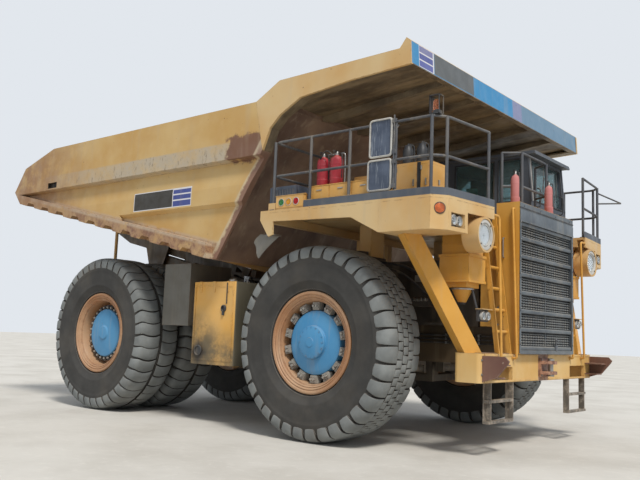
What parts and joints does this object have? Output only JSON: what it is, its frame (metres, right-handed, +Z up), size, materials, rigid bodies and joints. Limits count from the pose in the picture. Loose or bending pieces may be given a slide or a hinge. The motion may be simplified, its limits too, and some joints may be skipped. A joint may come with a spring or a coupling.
{
  "type": "mining dump truck",
  "caption": "Rigid-frame mining dump truck with a tipping bed and canopy over a side cab, ladders up from the bumper, and six wheels on two axles.",
  "frame": {"origin": "on the ground under the middle of the truck's box", "axes": "+X forward, +Y to the truck's left, +Z up"},
  "size_m": [11.63, 6.18, 5.8399],
  "materials": {
    "yellow_paint": "worn, faded and dusty",
    "dark_paint": "semi-gloss, dusty",
    "grey_paint": "matt, dusty",
    "red_paint": "gloss",
    "rim_paint": "worn and dusty",
    "rusty_steel": "rusted where the load lies",
    "maroon_paint": "worn",
    "tread_rubber": "dusty",
    "polished_rod": "polished",
    "bare_steel": "dull",
    "casting": "oily and dusty",
    "trim_plastic": "matt",
    "clear_glass": "clear, slightly tinted"
  },
  "bodies": {
    "chassis": {"frame_rails": "yellow_paint", "bumper": "yellow_paint", "bumper_steps": "maroon_paint", "engine": "casting", "driveline": "casting", "radiator_guard": "yellow_paint", "grille": "grey_paint", "decks": "yellow_paint", "deck_sides": "yellow_paint", "kick_plates": "grey_paint", "handrails": "dark_paint", "deck_struts": "yellow_paint", "ladders": "yellow_paint", "hand_bars": "yellow_paint", "air_cleaners": "yellow_paint", "headlamps": "yellow_paint", "lamp_glass": "clear_glass", "cab_shell": "dark_paint", "cab_glass": "clear_glass", "cab_inside": "trim_plastic", "deck_boxes": "yellow_paint", "extinguishers": "red_paint", "mirrors": "dark_paint", "tanks": "yellow_paint", "front_suspension": "casting", "rear_axle": "yellow_paint"},
    "bed": {"body_floor": "rusty_steel", "body_ribs": "yellow_paint", "body_beams": "yellow_paint", "body_side_l": "yellow_paint", "body_side_r": "yellow_paint", "headboard": "rusty_steel", "canopy": "yellow_paint"},
    "cab_door": {"cab_door": "dark_paint", "door_glass": "clear_glass"},
    "knuckle_left": {"knuckle_l": "casting"},
    "knuckle_right": {"knuckle_r": "casting"},
    "tie_rod": {"tie_rod": "bare_steel"},
    "steer_rod_left": {"steer_rod_l": "polished_rod"},
    "steer_rod_right": {"steer_rod_r": "polished_rod"},
    "front_wheel_left": {"front_rim_l": "rim_paint", "front_tyre_l": "tread_rubber"},
    "front_wheel_right": {"front_rim_r": "rim_paint", "front_tyre_r": "tread_rubber"},
    "rear_wheels_left": {"rear_rims_l": "rim_paint", "rear_tyres_l": "tread_rubber"},
    "rear_wheels_right": {"rear_rims_r": "rim_paint", "rear_tyres_r": "tread_rubber"},
    "hoist_barrel_left": {"hoist_barrel_l": "yellow_paint"},
    "hoist_barrel_right": {"hoist_barrel_r": "yellow_paint"},
    "hoist_tube_left": {"hoist_tube_l": "polished_rod"},
    "hoist_tube_right": {"hoist_tube_r": "polished_rod"},
    "hoist_rod_left": {"hoist_rod_l": "polished_rod"},
    "hoist_rod_right": {"hoist_rod_r": "polished_rod"}
  },
  "joints": [
    {"name": "bed_tip", "type": "hinge", "parent": "chassis", "child": "bed", "pos_m": [-3.705, 0, 2.95], "axis": [0, -1, 0], "range_deg": [0, 48]},
    {"name": "cab_door_swing", "type": "hinge", "parent": "chassis", "child": "cab_door", "pos_m": [3.399, 2.221, 4.25], "axis": [0, 0, 1], "range_deg": [0, 80]},
    {"name": "steer_left", "type": "hinge", "parent": "chassis", "child": "knuckle_left", "pos_m": [2.871, 1.62, 1.505], "axis": [0, 0, 1], "range_deg": [-35, 35]},
    {"name": "steer_right", "type": "hinge", "parent": "chassis", "child": "knuckle_right", "pos_m": [2.871, -1.62, 1.505], "axis": [0, 0, 1], "range_deg": [-35, 35]},
    {"name": "tie_rod_pivot", "type": "hinge", "parent": "knuckle_left", "child": "tie_rod", "pos_m": [2.221, 1.62, 0.975], "axis": [0, 0, 1], "range_deg": [-35, 35]},
    {"name": "steer_ram_left", "type": "slide", "parent": "chassis", "child": "steer_rod_left", "axis": [0, 1, 0], "range_m": [-0.2756, 0.2756]},
    {"name": "front_roll_left", "type": "hinge", "parent": "knuckle_left", "child": "front_wheel_left", "pos_m": [2.871, 2.365, 1.505], "axis": [0, 1, 0], "continuous": true},
    {"name": "rear_roll_left", "type": "hinge", "parent": "chassis", "child": "rear_wheels_left", "pos_m": [-2.705, 2.345, 1.505], "axis": [0, 1, 0], "continuous": true},
    {"name": "hoist_lean_left", "type": "hinge", "parent": "chassis", "child": "hoist_barrel_left", "pos_m": [-0.705, 0.85, 1], "axis": [0, -1, 0], "range_deg": [0, 18.66]},
    {"name": "hoist_stage_left", "type": "slide", "parent": "hoist_barrel_left", "child": "hoist_tube_left", "axis": [0.1601, 0, 0.9871], "range_m": [0, 1.2621]},
    {"name": "hoist_rod_slide_left", "type": "slide", "parent": "hoist_tube_left", "child": "hoist_rod_left", "axis": [0.1601, 0, 0.9871], "range_m": [0, 1.2621]},
    {"name": "steer_ram_right", "type": "slide", "parent": "chassis", "child": "steer_rod_right", "axis": [0, 1, 0], "range_m": [-0.2756, 0.2756]},
    {"name": "front_roll_right", "type": "hinge", "parent": "knuckle_right", "child": "front_wheel_right", "pos_m": [2.871, -2.365, 1.505], "axis": [0, 1, 0], "continuous": true},
    {"name": "rear_roll_right", "type": "hinge", "parent": "chassis", "child": "rear_wheels_right", "pos_m": [-2.705, -2.345, 1.505], "axis": [0, 1, 0], "continuous": true},
    {"name": "hoist_lean_right", "type": "hinge", "parent": "chassis", "child": "hoist_barrel_right", "pos_m": [-0.705, -0.85, 1], "axis": [0, -1, 0], "range_deg": [0, 18.66]},
    {"name": "hoist_stage_right", "type": "slide", "parent": "hoist_barrel_right", "child": "hoist_tube_right", "axis": [0.1601, 0, 0.9871], "range_m": [0, 1.2621]},
    {"name": "hoist_rod_slide_right", "type": "slide", "parent": "hoist_tube_right", "child": "hoist_rod_right", "axis": [0.1601, 0, 0.9871], "range_m": [0, 1.2621]}
  ],
  "couplings": [
    {"joint": "steer_right", "follows": "steer_left", "ratio": 1},
    {"joint": "tie_rod_pivot", "follows": "steer_left", "ratio": -1},
    {"joint": "steer_ram_left", "follows": "steer_left", "m_per_rad": 0.4507},
    {"joint": "hoist_lean_left", "follows": "bed_tip", "ratio": 0.38768},
    {"joint": "hoist_stage_left", "follows": "bed_tip", "m_per_rad": 1.5042},
    {"joint": "hoist_rod_slide_left", "follows": "bed_tip", "m_per_rad": 1.5042},
    {"joint": "steer_ram_right", "follows": "steer_left", "m_per_rad": 0.4507},
    {"joint": "hoist_lean_right", "follows": "bed_tip", "ratio": 0.38768},
    {"joint": "hoist_stage_right", "follows": "bed_tip", "m_per_rad": 1.5042},
    {"joint": "hoist_rod_slide_right", "follows": "bed_tip", "m_per_rad": 1.5042}
  ]
}
